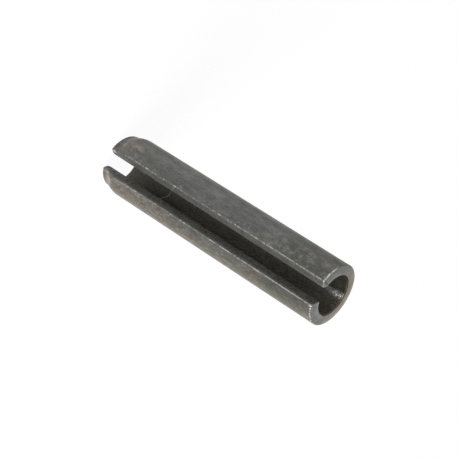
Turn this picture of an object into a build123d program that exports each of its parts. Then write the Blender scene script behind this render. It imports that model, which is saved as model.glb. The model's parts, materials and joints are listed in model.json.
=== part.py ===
from build123d import *
import os

# Heavy-duty slotted spring pin (roll pin), nominal 6 x 28 mm, in its free state.
#
# One strip of spring steel rolled into an open tube. It stands on its tapered lead-in end:
# the axis is +Z, the origin is the centre of the lead-in end's face, the plain cut end is up,
# and the slot faces -Y, so the left lip is on the -X side and the right lip on the +X side.

# Driving dimensions, in millimetres and degrees.
free_diameter = 6.5          # shank before it is driven into a 6 mm hole
strip_thickness = 1.2
pin_length = 28.5            # lead-in face to the bore at the cut end
slot_width = 2.55            # straight across, between the two outer slot edges
left_edge_slant = 14.5       # how far the left lip's edge face leans past the radius
right_edge_slant = 4.0       # the same on the right lip

lead_in_length = 1.45        # lead-in face to the start of the full diameter
taper_depth = 0.35           # how far the lead-in end's surface lies within the shank's
nose_length = 0.42           # of the land at the very tip
nose_round = 0.2             # radius round the tip's outer edge
nose_bore_round = 0.35       # radius round the tip's inner edge
nose_blend = 0.15            # radius in the hollow between the land and the taper
lead_in_blend = 2.2          # radius that eases the taper into the shank

cut_end_crown = 0.1          # how far the cut end's face rises from its outer rim to the bore
cut_rim_round = 0.08         # radius round the cut end's outer rim
cut_bore_round = 0.18        # radius round the cut end's inner rim
lip_edge_round = 0.08        # radius all round the edge face of each lip
worn_corner_drop = 0.38      # how far the left lip's inner corner is worn down at the cut end
worn_corner_reach = 0.42     # how far into the lip that worn facet goes

cutter_margin = 1.0          # how far the slot cutter reaches past the strip
worn_corner_margin = 0.5     # how far the worn corner's cutter reaches, so that it clears the right lip
upright_limit = 0.5          # a face is upright when its normal's height is under this

# Sizes that follow from them.
shank_radius = free_diameter / 2
bore_radius = shank_radius - strip_thickness
nose_radius = shank_radius - taper_depth
outer_rim_height = pin_length - cut_end_crown


def closed_tube():
    """The tube before it is slotted: one closed profile turned about the axis."""
    corners_and_rounds = [
        ((bore_radius, 0), nose_bore_round),
        ((nose_radius, 0), nose_round),
        ((nose_radius, nose_length), nose_blend),
        ((shank_radius, lead_in_length), lead_in_blend),
        ((shank_radius, outer_rim_height), cut_rim_round),
        ((bore_radius, pin_length), cut_bore_round),
    ]
    corners = [corner for corner, _ in corners_and_rounds]
    rounds = [radius for _, radius in corners_and_rounds]
    with BuildPart() as tube:
        with BuildSketch(Plane.XZ):
            with BuildLine():
                FilletPolyline(*corners, radius=rounds, close=True)
            make_face()
        revolve(axis=Axis.Z)
    return tube.part


def edge_face_line(side, slant):
    """Two points in line with one lip's edge face, outside the shank and inside the bore."""
    half_width = slot_width / 2
    edge = Vector(side * half_width, -((shank_radius**2 - half_width**2) ** 0.5))
    along_face = (-edge).normalized().rotate(Axis.Z, side * slant)
    outside = edge - along_face * cutter_margin
    inside = edge + along_face * (strip_thickness + cutter_margin)
    return outside, inside


def slot_cutter():
    """A prism that opens the tube along its whole length, with the two lips' own slants."""
    left_out, left_in = edge_face_line(-1, left_edge_slant)
    right_out, right_in = edge_face_line(1, right_edge_slant)
    with BuildPart() as cutter:
        with BuildSketch(Plane.XY.offset(-cutter_margin)):
            with BuildLine():
                Polyline(left_out, left_in, right_in, right_out, close=True)
            make_face()
        extrude(amount=pin_length + 2 * cutter_margin)
    return cutter.part


def worn_corner_cutter():
    """A block whose underside is the facet worn on the left lip's inner corner at the cut end."""
    outside, inside = edge_face_line(-1, left_edge_slant)
    inwards = (inside - outside).normalized()
    into_lip = inwards.rotate(Axis.Z, 90)
    outer_corner = outside + inwards * cutter_margin + Vector(0, 0, outer_rim_height)
    inner_corner = outer_corner + inwards * strip_thickness + Vector(0, 0, cut_end_crown)
    worn_to = inner_corner - Vector(0, 0, worn_corner_drop)
    on_bore_rim = inner_corner + into_lip * worn_corner_reach
    upwards = (worn_to - outer_corner).cross(on_bore_rim - outer_corner)
    facet = Plane(outer_corner, x_dir=worn_to - outer_corner, z_dir=upwards)
    length = strip_thickness + worn_corner_margin
    above_facet = (Align.MIN, Align.CENTER, Align.MIN)
    with BuildPart(facet) as cutter:
        Box(length, strip_thickness, worn_corner_margin, align=above_facet)
    return cutter.part


def lip_edges(tube):
    """Every edge round the two flat, upright faces that the slot leaves on the lips."""
    flat_faces = tube.faces().filter_by(GeomType.PLANE)
    edge_faces = [face for face in flat_faces if abs(face.normal_at().Z) < upright_limit]
    return [edge for face in edge_faces for edge in face.edges()]


def spring_pin():
    """The slotted tube with the edges of its lips rounded and one corner of them worn."""
    slotted = closed_tube() - slot_cutter()
    rounded = slotted.fillet(lip_edge_round, lip_edges(slotted))
    return rounded - worn_corner_cutter()


os.makedirs("parts", exist_ok=True)
pin = spring_pin()
pin.label = "spring_pin"
print("spring_pin", pin.is_valid, round(pin.volume, 2), pin.bounding_box())
export_step(pin, "parts/spring_pin.step")
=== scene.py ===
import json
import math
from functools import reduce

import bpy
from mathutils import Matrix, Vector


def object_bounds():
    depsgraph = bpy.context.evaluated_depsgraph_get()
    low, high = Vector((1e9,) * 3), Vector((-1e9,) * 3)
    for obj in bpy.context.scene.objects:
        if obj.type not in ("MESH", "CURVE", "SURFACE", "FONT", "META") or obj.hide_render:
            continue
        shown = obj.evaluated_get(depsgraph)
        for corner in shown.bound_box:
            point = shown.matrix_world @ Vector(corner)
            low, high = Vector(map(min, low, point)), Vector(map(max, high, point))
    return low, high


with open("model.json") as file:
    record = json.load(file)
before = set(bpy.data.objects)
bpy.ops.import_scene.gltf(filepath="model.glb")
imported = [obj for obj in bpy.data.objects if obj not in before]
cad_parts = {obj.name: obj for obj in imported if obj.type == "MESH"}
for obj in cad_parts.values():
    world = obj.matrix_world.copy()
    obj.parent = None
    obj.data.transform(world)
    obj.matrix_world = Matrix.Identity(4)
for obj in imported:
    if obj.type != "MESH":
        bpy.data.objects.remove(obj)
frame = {"nodes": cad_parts, "record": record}

# The looks of the slotted spring pin: its blackened steel, the floor, the light and the camera.
#
# The pin stands on its lead-in end, at height 0, with its axis along +Z, its plain cut end up and
# its slot facing -Y, so the left lip is on the -X side and the right lip on the +X side.
#
# Unless a comment says otherwise, lengths are millimetres, colours are linear, and angles are
# degrees round the pin from the slot's middle, minus on the left.

cad_low, cad_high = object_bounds()

MM = 0.001

# ---- Sizes: the frame's own, and those of the pin's details ------------------------------------
pin = frame["nodes"]["spring_pin"]
mounts = {mount["name"]: mount for mount in frame["record"]["mounts"]}
shank_radius = mounts["shank"]["dims"]["r_mm"]
bore_radius = mounts["bore"]["dims"]["r_mm"]
pin_height = cad_high.z / MM
wall = shank_radius - bore_radius

slot_half_width = 1.275
left_edge_slant = math.radians(14.5)    # how far the left lip's sheared face leans past the radius
right_edge_slant = math.radians(4.0)
nose_radius = 2.9
nose_length = 0.42
lead_in_length = 1.45
cut_end_crown = 0.1
worn_corner_drop = 0.38                 # the facet on the left lip's inner corner at the cut end
worn_corner_reach = 0.42

# ---- Camera ------------------------------------------------------------------------------------
photo_side = 458                        # pixels, both ways
sensor_width = 36.0
focal_pixels = 1444.4                   # the photograph's focal length, in its own pixels
camera_azimuth = math.radians(-11.82)
camera_elevation = math.radians(30.04)
camera_roll = math.radians(-122.62)
camera_distance = 141.89 * MM
look_at = Vector((0, 0, 15.09)) * MM
clip_near = 1 * MM
clip_far = 10.0                         # metres


def direction_towards(azimuth, elevation):
    """The unit vector from the object towards a viewer or lamp; azimuth 0 is on the -Y side."""
    return Vector((
        math.sin(azimuth) * math.cos(elevation),
        -math.cos(azimuth) * math.cos(elevation),
        math.sin(elevation),
    ))


def add_object(name, data):
    thing = bpy.data.objects.new(name, data)
    bpy.context.scene.collection.objects.link(thing)
    return thing


def add_camera():
    data = bpy.data.cameras.new("camera")
    data.sensor_width = sensor_width
    data.lens = focal_pixels * sensor_width / photo_side
    data.clip_start = clip_near
    data.clip_end = clip_far
    camera = add_object("camera", data)
    back = direction_towards(camera_azimuth, camera_elevation)
    upright = (-back).to_track_quat("-Z", "Y").to_matrix().to_4x4()
    roll = Matrix.Rotation(-camera_roll, 4, "Z")
    camera.matrix_world = Matrix.Translation(look_at + back * camera_distance) @ upright @ roll
    bpy.context.scene.camera = camera


# ---- Nodes -------------------------------------------------------------------------------------
class Graph:
    """One node tree. Its inputs take plain numbers, colours or other nodes' outputs alike."""

    def __init__(self, tree):
        self.nodes = tree.nodes
        self.links = tree.links

    def feed(self, socket, value):
        if isinstance(value, bpy.types.NodeSocket):
            self.links.new(value, socket)
        elif socket.type == "RGBA":
            socket.default_value = (*value, 1)
        else:
            socket.default_value = value

    def add(self, kind, inputs=(), **settings):
        node = self.nodes.new("ShaderNode" + kind)
        for name, value in settings.items():
            setattr(node, name, value)
        for key, value in dict(inputs).items():
            self.feed(node.inputs[key], value)
        return node

    # Numbers.
    def math(self, operation, *values):
        return self.add("Math", dict(enumerate(values)), operation=operation).outputs[0]

    def chain(self, operation, values):
        """An operation on two numbers, carried on through all the values."""
        return reduce(lambda first, second: self.math(operation, first, second), values)

    def plus(self, *values):
        return self.chain("ADD", values)

    def minus(self, first, second):
        return self.math("SUBTRACT", first, second)

    def times(self, *values):
        return self.chain("MULTIPLY", values)

    def larger(self, *values):
        return self.chain("MAXIMUM", values)

    def smaller(self, first, second):
        return self.math("MINIMUM", first, second)

    def absolute(self, value):
        return self.math("ABSOLUTE", value)

    def length(self, first, second):
        """The distance that two lengths at right angles make."""
        return self.math("SQRT", self.plus(self.times(first, first), self.times(second, second)))

    def opposite(self, share):
        return self.minus(1.0, share)

    def ramp(self, value, start, end, low=0.0, high=1.0, curve="SMOOTHSTEP"):
        """low where value is at start or before it, high at end or past it, eased between."""
        sockets = {
            "Value": value, "From Min": start, "From Max": end, "To Min": low, "To Max": high,
        }
        return self.add("MapRange", sockets, interpolation_type=curve).outputs["Result"]

    def line(self, value, start, end, low, high):
        """The same, in a straight line between."""
        return self.ramp(value, start, end, low, high, "LINEAR")

    def mixed(self, share, first, second):
        """A number that goes from first to second."""
        return self.line(share, 0, 1, first, second)

    def fading(self, depth, start, end):
        """1 down to start, and 0 from end on."""
        return self.ramp(depth, start, end, 1.0, 0.0)

    def near(self, value, centre, core, fade):
        """1 where value is within core of centre, and 0 where it is fade or more from it."""
        return self.fading(self.absolute(self.minus(value, centre)), core, fade)

    def window(self, value, low_outside, low_inside, high_inside, high_outside):
        """1 between the two inner values, and 0 beyond the two outer ones."""
        rising = self.ramp(value, low_outside, low_inside)
        return self.times(rising, self.fading(value, high_inside, high_outside))

    def noise(self, place, size, detail, roughness, stretch=(1, 1, 1), shift=(0, 0, 0)):
        """Soft random values about 0.5, in blots about size across.

        Each axis is multiplied by its stretch, so over 1 crowds the blots and under 1 draws them
        out; the shift, in millimetres, picks another part of the same noise.
        """
        sockets = {0: place, 1: stretch, 2: shift}
        moved = self.add("VectorMath", sockets, operation="MULTIPLY_ADD").outputs[0]
        sockets = {"Vector": moved, "Scale": 1 / size, "Detail": detail, "Roughness": roughness}
        return self.add("TexNoise", sockets).outputs["Fac"]

    # Colours.
    def mix(self, kind, factor, first, second):
        """Two colours mixed; 6, 7 and 2 are the places of the node's colour sockets."""
        sockets = {"Factor": factor, 6: first, 7: second}
        return self.add("Mix", sockets, data_type="RGBA", blend_type=kind).outputs[2]

    def painted(self, colour, *layers):
        """The colour under layers, each a mask, how strongly it covers there, and its colour."""
        for mask, strength, layer_colour in layers:
            colour = self.mix("MIX", self.times(mask, strength), colour, layer_colour)
        return colour

    def tinted(self, colour, *casts):
        """The colour multiplied by other colours, each where its mask is."""
        for mask, tint in casts:
            colour = self.mix("MULTIPLY", mask, colour, tint)
        return colour

    def shaded(self, colour, factor):
        """The colour made darker or lighter."""
        return self.add("VectorMath", {0: colour, "Scale": factor}, operation="SCALE").outputs[0]


# ---- Floor, world and lamp ---------------------------------------------------------------------
floor_half_size = 2.0                   # metres
floor_colour = (0.85, 0.85, 0.85)
floor_white_share = 0.95                # how much of the floor that is seen is plain white
world_colour = (1.0, 1.0, 1.0)
world_strength = 0.4                    # of its light; it is seen at full strength


def seen_rays(g):
    """1 for the rays that look at a thing straight, in a reflection or through glass."""
    path = g.add("LightPath").outputs
    return g.larger(path["Is Glossy Ray"], path["Is Transmission Ray"], path["Is Camera Ray"])


def floor_material():
    material = bpy.data.materials.new("floor_white")
    material.use_nodes = True
    g = Graph(material.node_tree)
    g.nodes.clear()
    white_share = g.times(seen_rays(g), floor_white_share)
    diffuse = g.add("BsdfDiffuse", {"Color": floor_colour})
    white = g.add("Emission", {"Strength": 1.0})
    mix = g.add("MixShader", {0: white_share, 1: diffuse.outputs[0], 2: white.outputs[0]})
    g.add("OutputMaterial", {"Surface": mix.outputs[0]})
    return material


def add_floor():
    side = floor_half_size
    mesh = bpy.data.meshes.new("floor")
    corners = [(-side, -side, 0), (side, -side, 0), (side, side, 0), (-side, side, 0)]
    mesh.from_pydata(corners, [], [(0, 1, 2, 3)])
    mesh.materials.append(floor_material())
    add_object("floor", mesh)


def set_world():
    world = bpy.data.worlds.new("studio")
    bpy.context.scene.world = world
    world.use_nodes = True
    g = Graph(world.node_tree)
    g.nodes.clear()
    camera_ray = g.add("LightPath").outputs["Is Camera Ray"]
    strength = g.mixed(camera_ray, world_strength, 1.0)
    background = g.add("Background", {"Color": world_colour, "Strength": strength})
    g.add("OutputWorld", {"Surface": background.outputs[0]})


def add_lamp(name, azimuth, elevation, distance, size, power):
    """A soft round lamp that faces the middle of the pin: degrees, metres and watts."""
    data = bpy.data.lights.new(name, "AREA")
    data.shape = "DISK"
    data.size = size
    data.energy = power
    lamp = add_object(name, data)
    back = direction_towards(math.radians(azimuth), math.radians(elevation))
    lamp.location = look_at + back * distance
    lamp.rotation_mode = "QUATERNION"
    lamp.rotation_quaternion = (-back).to_track_quat("-Z", "Y")


# ---- Where a point lies on the pin -------------------------------------------------------------
def edge_face_line(side, slant):
    """A slot edge's point at height 0, and the way its sheared face runs in from there."""
    edge = Vector((side * slot_half_width, -math.sqrt(shank_radius**2 - slot_half_width**2), 0))
    return edge, Matrix.Rotation(side * slant, 3, "Z") @ (-edge).normalized()


class PinFields:
    """Where a point lies on the pin, and how deep under each of its faces."""

    def __init__(self, g):
        self.g = g
        self.place = g.shaded(g.add("TexCoord").outputs["Object"], 1 / MM)
        self.x, self.y, self.z = g.add("SeparateXYZ", {0: self.place}).outputs
        self.radius = g.length(self.x, self.y)
        self.angle = g.math("DEGREES", g.math("ARCTAN2", self.x, g.times(self.y, -1.0)))
        self.behind = g.math("GREATER_THAN", self.y, 0.0)
        self.on_right = g.math("GREATER_THAN", self.x, 0.0)
        self.on_left = g.opposite(self.on_right)

        skin_radius = g.line(self.z, nose_length, lead_in_length, nose_radius, shank_radius)
        self.under_skin = g.minus(skin_radius, self.radius)
        self.under_bore = g.minus(self.radius, bore_radius)
        crown = g.line(self.radius, bore_radius, shank_radius, 0.0, cut_end_crown)
        self.under_cut_end = g.minus(g.minus(pin_height, crown), self.z)
        left = self.under_edge_face(-1, left_edge_slant)
        right = self.under_edge_face(1, right_edge_slant)
        far_from_slot = g.times(self.behind, shank_radius)
        self.under_slot = g.plus(g.mixed(self.on_right, left, right), far_from_slot)
        far_from_left_lip = g.times(self.on_right, shank_radius)
        self.under_facet = g.plus(self.under_worn_corner(), far_from_left_lip)

    def under_plane(self, point, normal):
        """Depth under the plane through point that faces along normal."""
        height = self.g.add("VectorMath", {0: self.place, 1: normal}, operation="DOT_PRODUCT")
        return self.g.minus(normal.dot(point), height.outputs["Value"])

    def under_edge_face(self, side, slant):
        """Depth under one lip's sheared face."""
        edge, inwards = edge_face_line(side, slant)
        return self.under_plane(edge, inwards.cross(Vector((0, 0, -side))))

    def under_worn_corner(self):
        """Depth under the facet on the left lip's inner corner at the cut end."""
        edge, inwards = edge_face_line(-1, left_edge_slant)
        outer_corner = edge + Vector((0, 0, pin_height - cut_end_crown))
        inner_corner = outer_corner + inwards * wall + Vector((0, 0, cut_end_crown))
        worn_to = inner_corner - Vector((0, 0, worn_corner_drop))
        into_lip = Vector((0, 0, 1)).cross(inwards)
        on_bore_rim = inner_corner + into_lip * worn_corner_reach
        normal = (worn_to - outer_corner).cross(on_bore_rim - outer_corner).normalized()
        return self.under_plane(outer_corner, normal)

    def patch(self, angle, height, angle_reach, height_reach):
        """1 in the middle of a soft oval patch of the pin, and 0 outside it."""
        across = self.g.times(self.g.minus(self.angle, angle), 1 / angle_reach)
        along = self.g.times(self.g.minus(self.z, height), 1 / height_reach)
        return self.g.fading(self.g.length(across, along), 0.0, 1.0)


# ---- Which face a point belongs to -------------------------------------------------------------
region_depth = 0.045                    # how deep under a face its own finish reaches
region_blend = 0.02                     # half the depth over which it gives way
bore_mouth_depth = 0.17                 # the bore's finish takes in its rim at the cut end,
bore_mouth_reach = (0.0, 0.3)           # down to here,
plain_mouth_window = (15.0, 20.0, 75.0, 95.0)   # but not on the right lip


def region_masks(g, fields):
    """1 on the bore, the cut end and the slot's sheared faces, and 0 on the rest of the skin."""
    outside = region_depth - region_blend
    inside = region_depth + region_blend
    on_facet = g.fading(fields.under_facet, outside, inside)
    flat_end = g.fading(fields.under_cut_end, outside, inside)
    edge_face = g.fading(fields.under_slot, outside, inside)
    right_lip = g.window(fields.angle, *plain_mouth_window)
    mouth_depth = g.mixed(right_lip, bore_mouth_depth, region_depth)
    bore_depth = g.ramp(fields.under_cut_end, *bore_mouth_reach, mouth_depth, region_depth)
    bore = g.fading(g.minus(fields.under_bore, bore_depth), -region_blend, region_blend)
    return g.times(bore, g.opposite(on_facet)), g.larger(flat_end, on_facet), edge_face


# ---- Finishes ----------------------------------------------------------------------------------
# The settings below are rows of numbers for the methods of Graph:
# - a name that ends in angles, heights, depths, radii, x or y goes to ramp, and says where a mask
#   rises from 0 to 1. The end where it is 0 comes first, so the larger number does if the mask
#   rises downwards. One that ends in edges says the same of a noise.
# - one that ends in shade, share, course, reach, gain, limit or roughness goes to ramp or line,
#   with the values at the two ends last. A shade is a factor for the colour. Where there are
#   only two values, or it isn't plain what the row goes by, its comment says so.
# - one that ends in fade goes to fading.
# - one that ends in around goes to near: its middle, its core and where it has faded. Where the
#   middle is worked out, a width has the other two.
# - one that ends in window goes to window.
# A strength says how much of what is under a layer it covers at most.
skin_dark = (0.124, 0.124, 0.116)       # blackened, oiled outer face
skin_light = (0.162, 0.162, 0.155)
fleck_colour = (0.30, 0.30, 0.29)       # rubbed spots
pit_colour = (0.07, 0.065, 0.055)
rubbed_colour = (0.330, 0.300, 0.270)   # pinkish worn patches by the taper
scuffed_colour = (0.520, 0.470, 0.400)  # the brightest patch, on the right lip's taper
bore_colour = (0.152, 0.148, 0.126)
glint_colour = (0.80, 0.78, 0.87)       # a painted glint: painted reflection in a streak in the bore
edge_face_colour = (0.250, 0.249, 0.232)   # sheared faces of the slot
cut_face_colour = (0.243, 0.243, 0.234)    # sawn end
bare_colour = (0.560, 0.555, 0.535)     # bright worn edges
bright_rim_colour = (0.80, 0.79, 0.76)  # the left lip's outer rim at the cut end: bare metal, painted up to a highlight

warm_tint = (1.04, 0.96, 0.82)
tan_tint = (1.045, 0.96, 0.80)
rose_tint = (1.08, 0.96, 0.90)
green_tint = (0.95, 1.02, 0.90)
violet_tint = (1.01, 0.985, 1.06)
brown_tint = (1.04, 0.94, 0.80)
olive_tint = (1.01, 0.995, 0.86)
bore_mouth_tint = (1.03, 1.00, 0.86)

grain = dict(size=0.14, detail=2.0, roughness=0.6)


# The outer face: dark oxide.
skin_broad = dict(size=2.2, detail=3.0, roughness=0.5)
skin_mottling = dict(size=0.45, detail=5.0, roughness=0.65, stretch=(1, 1, 0.4), shift=(7, 3, 1))
skin_clouds = dict(size=0.55, detail=4.0, roughness=0.6, shift=(4, 9, 2))
skin_casts = dict(size=1.1, detail=3.0, roughness=0.6, stretch=(1, 1, 0.7), shift=(9, 9, 9))
skin_curls = dict(size=0.55, detail=1.5, roughness=0.5, stretch=(1, 1, 0.8), shift=(5, 2, 8))
skin_flecks = dict(size=0.26, detail=2.0, roughness=0.6, stretch=(1, 1, 0.8), shift=(3, 11, 4))
skin_flakes = dict(size=0.28, detail=4.0, roughness=0.7, stretch=(1, 1, 0.45), shift=(2, 6, 12))
skin_smear = dict(size=0.50, detail=3.0, roughness=0.6, stretch=(1, 1, 0.5), shift=(11, 4, 7))
mottling_edges = (0.32, 0.70)
skin_roughness = (0.3, 0.7, 0.48, 0.36)             # by the mottling
skin_grain_height = 0.5                             # beside the mottling's, in the bump

# Its zones.
back_angles = (85.0, 140.0)                         # the side that the photo hides, both ways round
right_zone_window = (15.0, 30.0, 70.0, 115.0)       # the middle of the right lip
band_window = (-68.0, -58.0, -54.0, -46.0)          # a band of the left lip: a violet cast, and a painted sheen towards the tip
worn_cut_end_heights = (19.5, 22.5)                 # a worn zone of the left lip
worn_cut_end_angles = (-72.0, -55.0)
worn_tip_heights = (12.0, 8.0)                      # and one of the right lip
worn_tip_angles = (50.0, 30.0)

# How light or dark it is: tone by noise and by height, and painted shade and light by angle, darker
# towards the left's outline, lighter away from the slot on the right lip, with a painted sheen
# along the band.
left_outline_shade = (-80.0, -57.0, 0.62, 1.02)     # by angle
left_lip_shade = (-52.0, -36.0, 1.0, 0.95)          # by angle
band_shade = (13.0, 17.0, 1.08, 1.0)                # by height: the band's painted sheen
left_tip_shade = (2.4, 4.0, 1.12, 1.0)              # by height
left_cut_end_shade = (21.5, 24.0, 1.0, 0.80)        # by height
right_lip_shade = (30.0, 56.0, 0.84, 1.03)          # by angle
right_tip_shade = (3.0, 12.5, 1.14, 1.0)            # by height
right_dark_heights = (21.0, 24.5)
right_dark_shade = (42.0, 58.0, 0.80, 0.93)         # by angle
right_cut_end_shade = (26.6, 27.6, 1.0, 1.25)       # by height
back_shade = 0.88
broad_shade = (0.3, 0.7, 0.93, 1.08)                # by noise
skin_grain_shade = (0.25, 0.75, 0.84, 1.16)         # by noise
left_land_heights = (1.1, 0.6)
left_land_shade = (-62.0, -30.0, 0.66, 0.90)        # by angle

# Rubbed clouds, curls and flecks, most of them in the worn zones.
cloud_edges = (0.52, 0.68)
cloud_strength = 0.35
worn_cloud_share = 0.9
other_cloud_share = (0.55, 0.75, 0.0, 0.6)          # by the broad noise
curl_around = (0.5, 0.006, 0.045)                   # curls follow this value of their noise
curl_edges = (0.42, 0.58)                           # edges in the clouds' noise
curl_strengths = (0.08, 0.42)                       # outside the worn zones and inside them
fleck_edges = (0.66, 0.74)
fleck_strength = 0.6
slot_fleck_angles = (48.0, 25.0)                    # flecks are commoner by the slot
slot_fleck_gain = 0.05
worn_fleck_gain = 0.04

# Casts.
tan_angles = (20.0, 52.0)
rose_edges = (0.50, 0.66)
worn_tip_rose = 0.8
green_edges = (0.48, 0.36)
olive_angles = (-66.0, -76.0)
olive_height_share = (20.0, 24.0, 0.0, 0.40)
brown_heights = (4.2, 2.4)
brown_shares = (1.0, 0.5, 0.75)                     # on the left, on the right and at the back
brown_cast_share = (0.30, 0.55, 0.2, 0.7)
violet_heights = (3.0, 4.5)
violet_edges = (0.40, 0.60)

# Flakes and pits on the right and at the back.
flake_edges = (0.53, 0.63)
flake_strength = 0.52
pit_edges = (0.44, 0.34)
pit_strength = 0.55
flake_height_share = (12.0, 22.0, 1.0, 0.7)
flake_zone_shares = (0.15, 1.0)                     # outside the right zone and inside it

# Marks that the photo shows in these places.
left_rub = dict(angle=-48.0, height=2.7, angle_reach=16.0, height_reach=1.3)
small_left_rub = dict(angle=-32.0, height=3.1, angle_reach=8.0, height_reach=0.7)
right_rub = dict(angle=36.0, height=1.2, angle_reach=18.0, height_reach=1.1)
rub_edges = (0.38, 0.60)
rub_strength = 0.55
smear_angles = (33.0, 25.0)
smear_heights = (8.0, 5.5)
smear_edges = (0.42, 0.60)
smear_strength = 0.55
scuff = dict(angle=38.0, height=1.3, angle_reach=16.0, height_reach=0.5)
scuff_cloud_share = (0.30, 0.50, 0.4, 1.0)
scuff_strength = 0.55
smudge = dict(angle=-53.0, height=27.5, angle_reach=17.0, height_reach=0.9)
smudge_cloud_share = (0.30, 0.55, 0.3, 1.0)
smudge_strength = 0.5
land_line_course = (-62.0, -34.0, 0.82, 1.15)       # its height, by angle
land_line_width = (0.03, 0.15)
land_line_angles = (-28.0, -38.0)
land_line_cloud_share = (0.35, 0.55, 0.35, 1.0)
land_line_strength = 0.62


class Skin:
    """What the layers of the outer face share: its noises, and masks of its zones."""

    def __init__(self, g, fields):
        self.broad = g.noise(fields.place, **skin_broad)
        self.mottling = g.noise(fields.place, **skin_mottling)
        self.grain = g.noise(fields.place, **grain)
        self.clouds = g.noise(fields.place, **skin_clouds)
        self.casts = g.noise(fields.place, **skin_casts)
        self.at_back = g.ramp(g.absolute(fields.angle), *back_angles)
        self.in_front = g.opposite(self.at_back)
        self.right_zone = g.window(fields.angle, *right_zone_window)
        self.band = g.window(fields.angle, *band_window)
        worn_angles = g.ramp(fields.angle, *worn_cut_end_angles)
        worn_heights = g.ramp(fields.z, *worn_cut_end_heights)
        worn_cut_end = g.times(worn_heights, worn_angles, fields.on_left)
        tip_angles = g.ramp(fields.angle, *worn_tip_angles)
        tip_heights = g.ramp(fields.z, *worn_tip_heights)
        self.worn_tip = g.times(tip_angles, tip_heights, fields.on_right)
        self.worn = g.larger(worn_cut_end, self.worn_tip)


def skin_tone_and_painted_shade(g, fields, skin):
    """How light or dark the outer face is: tone by noise and height, and painted shade and light by
    angle.
    """
    left = g.times(
        g.ramp(fields.angle, *left_outline_shade),
        g.ramp(fields.angle, *left_lip_shade),
        g.mixed(skin.band, 1.0, g.ramp(fields.z, *band_shade)),
        g.ramp(fields.z, *left_tip_shade),
        g.ramp(fields.z, *left_cut_end_shade),
    )
    right_dark = g.ramp(fields.z, *right_dark_heights)
    right = g.times(
        g.ramp(fields.angle, *right_lip_shade),
        g.ramp(fields.z, *right_tip_shade),
        g.mixed(right_dark, 1.0, g.ramp(fields.angle, *right_dark_shade)),
        g.ramp(fields.z, *right_cut_end_shade),
    )
    left_land = g.times(g.ramp(fields.z, *left_land_heights), fields.on_left, skin.in_front)
    return g.times(
        g.ramp(skin.broad, *broad_shade),
        g.ramp(skin.grain, *skin_grain_shade),
        g.mixed(skin.at_back, g.mixed(fields.on_right, left, right), back_shade),
        g.mixed(left_land, 1.0, g.ramp(fields.angle, *left_land_shade)),
    )


def rubbed_skin(g, fields, skin, colour):
    """Clouds, curls and flecks where the oxide is rubbed."""
    other_clouds = g.ramp(skin.broad, *other_cloud_share)
    cloud_share = g.larger(g.times(skin.worn, worn_cloud_share), other_clouds)
    clouds = g.times(g.ramp(skin.clouds, *cloud_edges), cloud_share)
    contours = g.near(g.noise(fields.place, **skin_curls), *curl_around)
    curls = g.times(contours, g.ramp(skin.clouds, *curl_edges))
    near_slot = g.ramp(g.absolute(fields.angle), *slot_fleck_angles)
    gain = g.plus(g.times(near_slot, slot_fleck_gain), g.times(skin.worn, worn_fleck_gain))
    flecks = g.ramp(g.plus(g.noise(fields.place, **skin_flecks), gain), *fleck_edges)
    return g.painted(
        colour,
        (clouds, cloud_strength, fleck_colour),
        (curls, g.mixed(skin.worn, *curl_strengths), fleck_colour),
        (flecks, fleck_strength, fleck_colour),
    )


def lip_casts(g, fields, skin, colour):
    """Tan, rose and green on the right, and olive at the left's outline and cut end."""
    tan = g.times(g.ramp(fields.angle, *tan_angles), skin.in_front)
    rose = g.larger(g.times(skin.worn_tip, worn_tip_rose), g.ramp(skin.casts, *rose_edges))
    green = g.times(g.opposite(skin.worn_tip), g.ramp(skin.casts, *green_edges))
    olive = g.larger(g.ramp(fields.angle, *olive_angles), g.ramp(fields.z, *olive_height_share))
    return g.tinted(
        colour,
        (tan, tan_tint),
        (g.times(skin.right_zone, rose), rose_tint),
        (g.times(skin.right_zone, green), green_tint),
        (g.times(olive, fields.on_left, skin.in_front), olive_tint),
    )


def flaked_skin(g, fields, skin, colour):
    """Light flakes and dark pits."""
    noise = g.noise(fields.place, **skin_flakes)
    share = g.times(
        g.ramp(fields.z, *flake_height_share),
        g.mixed(skin.right_zone, *flake_zone_shares),
        g.larger(fields.on_right, skin.at_back),
    )
    flakes = g.times(g.ramp(noise, *flake_edges), share)
    pits = g.times(g.ramp(noise, *pit_edges), share)
    return g.painted(
        colour, (flakes, flake_strength, fleck_colour), (pits, pit_strength, pit_colour)
    )


def taper_and_band_casts(g, fields, skin, colour):
    """Brown on the taper, and violet along the left lip's band."""
    on_left, on_right, at_back = brown_shares
    brown_share = g.mixed(skin.at_back, g.mixed(fields.on_right, on_left, on_right), at_back)
    on_taper = g.times(g.ramp(fields.z, *brown_heights), brown_share)
    brown = g.times(on_taper, g.ramp(skin.casts, *brown_cast_share))
    above_taper = g.ramp(fields.z, *violet_heights)
    violet = g.times(skin.band, above_taper, g.ramp(skin.casts, *violet_edges))
    return g.tinted(colour, (brown, brown_tint), (violet, violet_tint))


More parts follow.
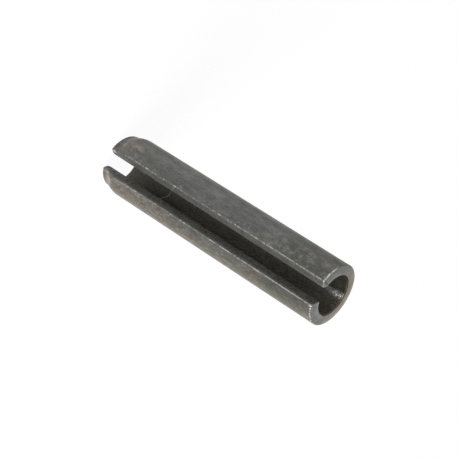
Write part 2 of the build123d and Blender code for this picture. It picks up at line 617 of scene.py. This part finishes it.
def marked_skin(g, fields, skin, colour):
    """Worn patches and a smear by the tip, a smudge at the cut end, and a line round the land."""
    rubs = [fields.patch(**rub) for rub in (left_rub, right_rub, small_left_rub)]
    rubbed = g.times(g.larger(*rubs), g.ramp(skin.clouds, *rub_edges))
    smear = g.times(
        g.ramp(fields.angle, *smear_angles),
        g.ramp(fields.z, *smear_heights),
        fields.on_right,
        g.ramp(g.noise(fields.place, **skin_smear), *smear_edges),
    )
    scuffed = g.times(fields.patch(**scuff), g.ramp(skin.clouds, *scuff_cloud_share))
    smudged = g.times(fields.patch(**smudge), g.ramp(skin.clouds, *smudge_cloud_share))
    land_line_height = g.ramp(fields.angle, *land_line_course)
    land_line = g.times(
        g.near(fields.z, land_line_height, *land_line_width),
        fields.on_left,
        g.ramp(fields.angle, *land_line_angles),
        skin.in_front,
        g.ramp(skin.clouds, *land_line_cloud_share),
    )
    return g.painted(
        colour,
        (rubbed, rub_strength, rubbed_colour),
        (smear, smear_strength, rubbed_colour),
        (scuffed, scuff_strength, scuffed_colour),
        (smudged, smudge_strength, fleck_colour),
        (land_line, land_line_strength, fleck_colour),
    )


def skin_finish(g, fields):
    """Dark oxide: mottled, rubbed, flaked and stained, with painted shade and light by angle."""
    skin = Skin(g, fields)
    mottled = g.ramp(skin.mottling, *mottling_edges)
    colour = g.painted(skin_dark, (mottled, 1.0, skin_light))
    for layer in (rubbed_skin, lip_casts, flaked_skin, taper_and_band_casts, marked_skin):
        colour = layer(g, fields, skin, colour)
    colour = g.shaded(colour, skin_tone_and_painted_shade(g, fields, skin))
    height = g.plus(g.times(skin.grain, skin_grain_height), skin.mottling)
    return colour, g.ramp(skin.mottling, *skin_roughness), height


# The bore: dull, scaly and olive.
bore_scale = dict(size=0.55, detail=4.0, roughness=0.6, stretch=(1, 1, 0.4), shift=(5, 5, 5))
bore_sparkle = dict(size=0.13, detail=3.0, roughness=0.7, shift=(8, 1, 6))
bore_roughness = 0.60

# How light or dark it is: tone by noise and height, painted light on the right, and painted shade
# on the left wall and the rim at the mouth.
bore_scale_shade = (0.3, 0.7, 0.92, 1.08)           # by noise
bore_grain_shade = (0.3, 0.7, 0.64, 1.36)           # by noise
bore_tip_shade = (3.0, 6.5, 0.74, 1.0)              # by height
bore_rim_shade = (0.30, 0.05, 1.0, 0.68)            # by depth under the cut end: painted shade on the mouth's rim
bore_right_angles = (159.0, 139.0)                  # painted light: a lighter stretch on the right
bore_right_heights = (5.0, 11.0)
bore_right_depth_share = (0.05, 0.35, 0.4, 1.0)     # under the cut end
bore_right_shade = 1.75
bore_band_around = (25.8, 0.9, 1.9)                 # a slightly lighter band
bore_band_shade = 1.14
bore_far_x = (0.05, -0.35)                          # by X: painted shade on the left wall by the mouth
bore_far_heights = (22.0, 25.0)
bore_far_shade = 0.30
mouth_tint_heights = (26.8, 27.8)

# A painted glint at the mouth, opposite the slot: a streak of painted reflection, where the bore is
# also smoother.
streak_middle = 0.06                                # by X
streak_reach = (25.8, 28.2, 0.24, 0.50)             # half its width, by height
streak_x = (1.0, 0.15)                              # from its middle, in half widths
streak_heights = (25.8, 28.3)
streak_depths = (0.0, 0.26)                         # under the cut end
streak_sparkle_share = (0.47, 0.58, 0.06, 1.0)      # by noise
streak_roughness = 0.22

# A curved scratch and a faint smear opposite the slot, seen through it.
scratch_course = (133.0, 157.0, 5.35, 5.75)         # its height, by angle
scratch_width = (0.04, 0.11)
scratch_angles = (125.0, 132.0)
scratch_end_share = (157.0, 164.0, 1.0, 0.3)        # it grows fainter, by angle
scratch_strength = 0.65
bore_smear_course = (127.0, 148.0, 2.6, 2.3)        # its height, by angle
bore_smear_width = (0.10, 0.35)
bore_smear_around = (137.0, 8.0, 14.0)
bore_smear_strength = 0.10


def bore_tone_and_painted_shade(g, fields, scale):
    """How light or dark the bore is: tone by noise and height, painted light and painted shade."""
    right_side = g.times(
        g.ramp(fields.angle, *bore_right_angles),
        fields.on_right,
        g.ramp(fields.z, *bore_right_heights),
        g.ramp(fields.under_cut_end, *bore_right_depth_share),
    )
    band = g.near(fields.z, *bore_band_around)
    far_side = g.times(g.ramp(fields.x, *bore_far_x), g.ramp(fields.z, *bore_far_heights))
    return g.times(
        g.ramp(scale, *bore_scale_shade),
        g.ramp(g.noise(fields.place, **grain), *bore_grain_shade),
        g.ramp(fields.z, *bore_tip_shade),
        g.mixed(right_side, 1.0, bore_right_shade),
        g.mixed(band, 1.0, bore_band_shade),
        g.ramp(far_side, 0.0, 1.0, 1.0, bore_far_shade),
        g.ramp(fields.under_cut_end, *bore_rim_shade),
    )


def painted_glint_streak(g, fields):
    """A painted glint: painted reflection, bright and speckled, widening towards the cut end."""
    from_middle = g.absolute(g.minus(fields.x, streak_middle))
    half_width = g.ramp(fields.z, *streak_reach)
    return g.times(
        g.ramp(g.math("DIVIDE", from_middle, half_width), *streak_x),
        g.ramp(fields.z, *streak_heights),
        g.ramp(fields.under_cut_end, *streak_depths),
        fields.behind,
        g.ramp(g.noise(fields.place, **bore_sparkle), *streak_sparkle_share),
    )


def bore_finish(g, fields):
    """Dull, scaly and olive, with painted light and shade, a painted glint at the mouth and a
    scratch near the tip.
    """
    scale = g.noise(fields.place, **bore_scale)
    streak = painted_glint_streak(g, fields)
    scratch = g.times(
        g.near(fields.z, g.ramp(fields.angle, *scratch_course), *scratch_width),
        g.ramp(fields.angle, *scratch_angles),
        g.ramp(fields.angle, *scratch_end_share),
    )
    smear_height = g.ramp(fields.angle, *bore_smear_course)
    smear = g.near(fields.z, smear_height, *bore_smear_width)
    smear = g.times(smear, g.near(fields.angle, *bore_smear_around))
    colour = g.painted(
        g.shaded(bore_colour, bore_tone_and_painted_shade(g, fields, scale)),
        (streak, 1.0, glint_colour),
        (scratch, scratch_strength, bare_colour),
        (smear, bore_smear_strength, fleck_colour),
    )
    mouth = g.times(g.ramp(fields.z, *mouth_tint_heights), g.opposite(streak))
    colour = g.tinted(colour, (mouth, bore_mouth_tint))
    return colour, g.mixed(streak, bore_roughness, streak_roughness), scale


# The slot's two sheared faces.
edge_strokes = dict(size=0.15, detail=3.0, roughness=0.6, stretch=(0.4, 0.4, 1.3))
edge_patches = dict(size=0.9, detail=3.0, roughness=0.5, stretch=(1, 1, 0.7), shift=(3, 8, 2))
edge_roughness = (0.3, 0.7, 0.50, 0.40)             # by the strokes
edge_stroke_shade = (0.32, 0.68, 0.62, 1.38)        # by noise
edge_patch_shade = (0.3, 0.7, 0.90, 1.10)           # by noise
inner_edge_depths = (0.3, 1.15)                     # under the skin
inner_edge_shade = (0.92, 1.30)                     # outside those depths and inside them
edge_tip_shade = (0.3, 5.0, 0.54, 1.0)              # by height
low_inner_heights = (4.0, 1.5)                      # the right face's inner side at the tip
low_inner_depths = (0.3, 0.7)                       # under the skin
low_inner_shade = 0.78
right_outer_shade = (0.12, 0.42, 1.4, 1.0)          # by depth under the skin

# A scratch across both faces, a straight line on each: the radius where it has a height, that
# height, and how steeply it rises with the radius.
left_scratch_line = (3.17, 9.03, 0.61)
right_scratch_line = (2.49, 8.01, 1.06)
edge_scratch_width = (0.04, 0.13)
edge_scratch_strength = 0.28

# A painted glint at the left lip's tip.
tip_glint_height_around = (0.38, 0.12, 0.34)
tip_glint_radius_around = (2.72, 0.08, 0.26)
tip_glint_strength = 0.75


def scratch_line_height(g, fields, radius, height, rise):
    return g.plus(g.times(g.minus(fields.radius, radius), rise), height)


def edge_face_finish(g, fields):
    """Sheared steel with fine strokes, darker towards the tip, with a painted glint at the left
    lip's tip.
    """
    strokes = g.noise(fields.place, **edge_strokes)
    inner = g.ramp(fields.under_skin, *inner_edge_depths)
    low_inner = g.times(
        g.ramp(fields.z, *low_inner_heights),
        g.ramp(fields.under_skin, *low_inner_depths),
        fields.on_right,
    )
    right_outer = g.times(fields.on_right, g.ramp(fields.under_skin, *right_outer_shade))
    shade = g.times(
        g.ramp(strokes, *edge_stroke_shade),
        g.ramp(g.noise(fields.place, **edge_patches), *edge_patch_shade),
        g.ramp(inner, 0.0, 1.0, *inner_edge_shade),
        g.ramp(fields.z, *edge_tip_shade),
        g.mixed(low_inner, 1.0, low_inner_shade),
        g.larger(right_outer, 1.0),
    )
    left_height = scratch_line_height(g, fields, *left_scratch_line)
    right_height = scratch_line_height(g, fields, *right_scratch_line)
    scratch_height = g.mixed(fields.on_right, left_height, right_height)
    tip_glint = g.times(
        g.near(fields.z, *tip_glint_height_around),
        g.near(fields.radius, *tip_glint_radius_around),
        fields.on_left,
    )
    colour = g.painted(
        g.shaded(edge_face_colour, shade),
        (g.near(fields.z, scratch_height, *edge_scratch_width), edge_scratch_strength, bare_colour),
        (tip_glint, tip_glint_strength, bare_colour),
    )
    return colour, g.ramp(strokes, *edge_roughness), strokes


# The cut end.
saw_marks = dict(size=0.30, detail=3.0, roughness=0.6, stretch=(0.6, 3.0, 0.5))
cut_patches = dict(size=0.6, detail=3.0, roughness=0.5, shift=(6, 2, 2))
cut_roughness = (0.3, 0.7, 0.86, 0.80)              # by the patches
saw_mark_shade = (0.3, 0.7, 0.90, 1.10)             # by noise
cut_patch_shade = (0.3, 0.7, 0.88, 1.12)            # by noise
cut_back_y = (-1.0, 2.4)                            # by Y: the far side from the slot
cut_back_shade = (0.96, 1.16)                       # outside it and inside it
outward_radii = (2.5, 3.0)                          # its outer half is lighter still
outward_shade = 1.2
inner_band_around = (2.32, 0.06, 0.26)              # a light ring by the bore, in front
inner_band_angle_fade = (70.0, 100.0)               # where it fades, both ways round
inner_band_shade = 1.22
rim_painted_shade_around = (2.97, 0.03, 0.11)                  # painted shade: a dark line along the left lip's outer rim
rim_painted_shade_angles = (-66.0, -54.0)
rim_painted_shade = 0.72
facet_shade = 0.55                                  # of the worn corner
facet_fade = (region_depth, 2 * region_depth)


def cut_face_finish(g, fields):
    """Cut steel with fine saw marks, grey in front and browner and lighter at the back, with a line
    of painted shade inside the left lip's rim.
    """
    marks = g.noise(fields.place, **saw_marks)
    patches = g.noise(fields.place, **cut_patches)
    back = g.ramp(fields.y, *cut_back_y)
    in_front = g.fading(g.absolute(fields.angle), *inner_band_angle_fade)
    inner_band = g.times(in_front, g.near(fields.radius, *inner_band_around))
    left_lip = g.times(g.ramp(fields.angle, *rim_painted_shade_angles), fields.on_left)
    rim_painted_shade_line = g.times(left_lip, g.near(fields.radius, *rim_painted_shade_around))
    on_facet = g.fading(fields.under_facet, *facet_fade)
    outward = g.times(back, g.ramp(fields.radius, *outward_radii))
    shade = g.times(
        g.ramp(marks, *saw_mark_shade),
        g.ramp(patches, *cut_patch_shade),
        g.ramp(back, 0.0, 1.0, *cut_back_shade),
        g.mixed(inner_band, 1.0, inner_band_shade),
        g.mixed(rim_painted_shade_line, 1.0, rim_painted_shade),
        g.mixed(on_facet, 1.0, facet_shade),
        g.ramp(outward, 0.0, 1.0, 1.0, outward_shade),
    )
    colour = g.shaded(g.tinted(cut_face_colour, (back, warm_tint)), shade)
    return colour, g.ramp(patches, *cut_roughness), marks


# The cut end's outer rim.
rim_raggedness = dict(size=0.30, detail=3.0, roughness=0.6)
rim_raggedness_depth = 0.14
rim_patches = dict(size=0.45, detail=3.0, roughness=0.6)
rim_patch_share = (0.38, 0.58, 0.35, 1.0)           # by noise
bright_rim_fade = (0.05, 0.11)
bright_rim_angles = (-66.0, -48.0)
rim_speckle = dict(size=0.13, detail=2.0, roughness=0.6)
rim_speckle_share = (0.42, 0.64, 0.0, 0.66)         # by noise
dull_rim_fade = (0.10, 0.18)
dull_rim_angle_fade = (60.0, 85.0)                  # where it fades
dull_roughness = 0.70


def ragged_by(g, fields, noise, depth):
    """A depth that is more in some places and less in others, by up to half of depth."""
    return g.times(g.minus(g.noise(fields.place, **noise), 0.5), depth)


def with_cut_rim(g, fields, colour, roughness):
    """The rim: bare metal painted up to a highlight along the left lip, and dull and speckled on
    the right.
    """
    ragged = ragged_by(g, fields, rim_raggedness, rim_raggedness_depth)
    rim = g.plus(g.larger(fields.under_skin, fields.under_cut_end), ragged)
    bright = g.times(
        g.fading(rim, *bright_rim_fade),
        g.ramp(fields.angle, *bright_rim_angles),
        fields.on_left,
        g.ramp(g.noise(fields.place, **rim_patches), *rim_patch_share),
    )
    dull = g.times(
        g.fading(rim, *dull_rim_fade), fields.on_right, g.fading(fields.angle, *dull_rim_angle_fade)
    )
    speckle = g.ramp(g.noise(fields.place, **rim_speckle), *rim_speckle_share)
    speckled = g.painted(skin_dark, (speckle, 1.0, bare_colour))
    colour = g.painted(colour, (bright, 1.0, bright_rim_colour), (dull, 1.0, speckled))
    return colour, g.mixed(dull, roughness, dull_roughness)


# Bare metal along the edges. Patches and dashes are noise read along the slot's edges, and the
# metal is bare where they are over their limits.
wear_raggedness = dict(size=0.26, detail=3.0, roughness=0.6)
wear_raggedness_depth = 0.16
bare_roughness = 0.34
slot_edge_fade = (0.04, 0.12)
unworn_edge_shade = 0.78                            # painted shade on the slot's rounded edges between the bare dashes
right_edge_shift = 13.0                             # so that the lips aren't worn alike
wear_patches = dict(size=1.1, detail=4.0, roughness=0.7)
wear_dashes = dict(size=0.38, detail=3.0, roughness=0.6, shift=(5, 0, 3))
patch_limit = (14.0, 23.0, 0.50, 0.39)              # by height
left_tip_gain = (7.0, 5.0, 0.0, 0.07)               # by height: a lower limit at the left lip's tip
patch_wear_share = (-0.04, 0.09, 0.04, 1.0)         # by how far the noise is over its limit
dash_limit = (14.0, 23.0, 0.51, 0.43)               # by height
dash_wear_share = (-0.03, 0.08, 0.06, 1.0)
left_lip_wear_share = (14.0, 23.0, 0.95, 0.50)      # by height
right_lip_wear_share = (18.0, 23.0, 0.80, 0.58)     # by height
left_tip_wear_share = (1.9, 2.9, 0.2, 1.0)          # by height
corner_wear_share = (0.03, 0.10, 0.30, 0.0)         # by depth under the lips' cut corners
corner_raggedness = 0.5                             # beside the other edges'
right_corner_height = 0.12                          # how far down the right lip's is worn more
right_corner_wear_share = (0.08, 0.22, 0.75, 0.0)   # by depth under it
lip_end_wear_share = (0.06, 0.18, 0.9, 0.0)         # by depth under the lips' outer corners


def slot_edge_wear(g, fields, on_edge):
    """Broken dashes along the slot's outer edges, steadier near the cut end."""
    edge_shift = g.times(fields.on_right, right_edge_shift)
    along_edge = g.add("CombineXYZ", {0: edge_shift, 1: 0.0, 2: fields.z}).outputs[0]
    left_gain = g.times(g.ramp(fields.z, *left_tip_gain), fields.on_left)
    limit = g.minus(g.line(fields.z, *patch_limit), left_gain)
    over_limit = g.minus(g.noise(along_edge, **wear_patches), limit)
    dashes = g.noise(along_edge, **wear_dashes)
    dash_over_limit = g.minus(dashes, g.ramp(fields.z, *dash_limit))
    left_share = g.ramp(fields.z, *left_lip_wear_share)
    right_share = g.ramp(fields.z, *right_lip_wear_share)
    return g.times(
        on_edge,
        g.ramp(over_limit, *patch_wear_share),
        g.ramp(dash_over_limit, *dash_wear_share),
        g.mixed(fields.on_right, left_share, right_share),
        g.larger(fields.on_right, g.ramp(fields.z, *left_tip_wear_share)),
    )


def edge_wear(g, fields):
    """How bare the metal is, and where the slot's outer edges are."""
    ragged = ragged_by(g, fields, wear_raggedness, wear_raggedness_depth)
    under_slot_edge = g.plus(g.larger(fields.under_skin, fields.under_slot), ragged)
    on_slot_edge = g.fading(under_slot_edge, *slot_edge_fade)
    slot_wear = slot_edge_wear(g, fields, on_slot_edge)

    under_corner = g.larger(fields.under_slot, g.smaller(fields.under_cut_end, fields.under_facet))
    under_corner = g.plus(under_corner, g.times(ragged, corner_raggedness))
    under_right_corner = g.plus(
        g.larger(
            g.minus(fields.under_cut_end, right_corner_height),
            fields.under_skin,
            fields.under_slot,
        ),
        ragged,
    )
    right_corner = g.times(g.ramp(under_right_corner, *right_corner_wear_share), fields.on_right)
    under_rim = g.plus(g.larger(fields.under_skin, fields.under_cut_end), ragged)
    lip_end = g.ramp(g.larger(under_rim, fields.under_slot), *lip_end_wear_share)
    corners = g.larger(g.ramp(under_corner, *corner_wear_share), right_corner, lip_end)
    return g.larger(slot_wear, corners), on_slot_edge


# ---- The steel and the scene -------------------------------------------------------------------
steel_metallic = 0.9
bump_strength = 0.3
bump_depth = 0.02 * MM


def steel_material():
    """The outer face's finish with the other faces' over it, and then the rim and the wear."""
    material = bpy.data.materials.new("spring_steel")
    material.use_nodes = True
    g = Graph(material.node_tree)
    fields = PinFields(g)
    bore, cut_end, edge_face = region_masks(g, fields)
    colour, roughness, height = skin_finish(g, fields)
    faces = ((edge_face, edge_face_finish), (cut_end, cut_face_finish), (bore, bore_finish))
    for mask, finish in faces:
        face_colour, face_roughness, face_height = finish(g, fields)
        colour = g.painted(colour, (mask, 1.0, face_colour))
        roughness = g.mixed(mask, roughness, face_roughness)
        height = g.mixed(mask, height, face_height)
    colour, roughness = with_cut_rim(g, fields, colour, roughness)
    wear, on_slot_edge = edge_wear(g, fields)
    # painted shade on the slot's rounded edges, where they catch the light
    colour = g.shaded(colour, g.mixed(on_slot_edge, 1.0, unworn_edge_shade))
    colour = g.painted(colour, (wear, 1.0, bare_colour))
    roughness = g.mixed(wear, roughness, bare_roughness)
    relief = {"Strength": bump_strength, "Distance": bump_depth, "Height": height}
    shader = g.nodes["Principled BSDF"]
    g.feed(shader.inputs["Metallic"], steel_metallic)
    g.feed(shader.inputs["Base Color"], colour)
    g.feed(shader.inputs["Roughness"], roughness)
    g.feed(shader.inputs["Normal"], g.add("Bump", relief).outputs[0])
    return material


pin.data.materials.clear()
pin.data.materials.append(steel_material())
add_camera()
add_floor()
set_world()
add_lamp("key", azimuth=60, elevation=35, distance=0.6, size=0.4, power=6)
bpy.context.scene.view_settings.view_transform = "Standard"
